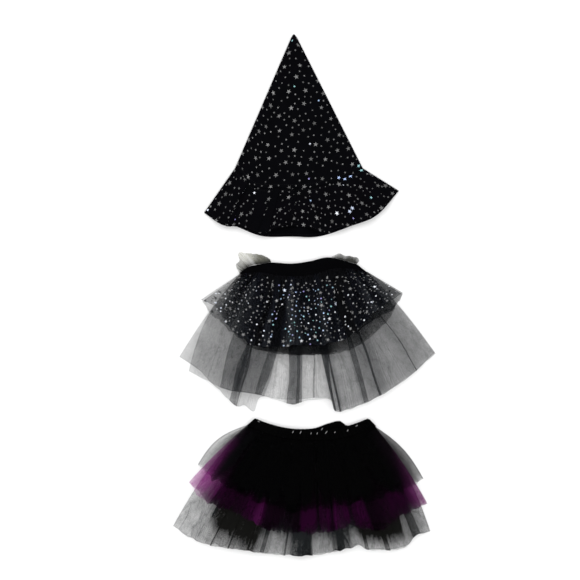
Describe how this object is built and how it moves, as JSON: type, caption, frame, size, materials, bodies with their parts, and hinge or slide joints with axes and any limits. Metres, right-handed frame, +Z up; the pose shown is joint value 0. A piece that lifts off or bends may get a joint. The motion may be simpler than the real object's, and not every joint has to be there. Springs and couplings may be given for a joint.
{
  "type": "child's witch costume set of star hat, tiered capelet and tulle tutu, laid flat",
  "caption": "Child's witch costume laid flat: soft cone hat with a ruffled brim, tiered tulle capelet with foil stars, and a layered tulle tutu.",
  "frame": {"origin": "middle of the footprint, on the surface that the costume lies on", "axes": "+X to the right seen from above, +Y along the set towards the hat's tip, +Z up from the surface"},
  "size_m": [0.552, 1.0954, 0.0358],
  "materials": {
    "star_cloth": "black woven cloth with silver foil stars",
    "black_cloth": "plain black cloth, matt",
    "star_tulle": "black net with holographic foil stars",
    "sheer_tulle": "sheer black net",
    "pale_tulle": "sheer beige-grey net",
    "black_satin": "glossy black satin, gathered on elastic",
    "black_tulle": "black net in close gathers",
    "purple_tulle": "purple net in close gathers"
  },
  "bodies": {
    "root": {"hat_cone_back": "star_cloth", "hat_cone_front": "star_cloth", "hat_brim_back": "star_cloth", "hat_brim_front": "star_cloth", "cape_yoke_back": "black_cloth", "cape_yoke_front": "black_cloth", "cape_star_tier_back": "star_tulle", "cape_star_tier_front": "star_tulle", "cape_lining_back": "black_cloth", "cape_lining_front": "black_cloth", "cape_long_tier_back": "sheer_tulle", "cape_long_tier_front": "sheer_tulle", "cape_frill_left": "pale_tulle", "cape_frill_right": "pale_tulle", "tutu_waistband_back": "black_satin", "tutu_waistband_front": "black_satin", "tutu_black_tier_back": "black_tulle", "tutu_black_tier_front": "black_tulle", "tutu_purple_tier_back": "purple_tulle", "tutu_purple_tier_front": "purple_tulle", "tutu_grey_tier_back": "sheer_tulle", "tutu_grey_tier_front": "sheer_tulle"}
  },
  "joints": []
}
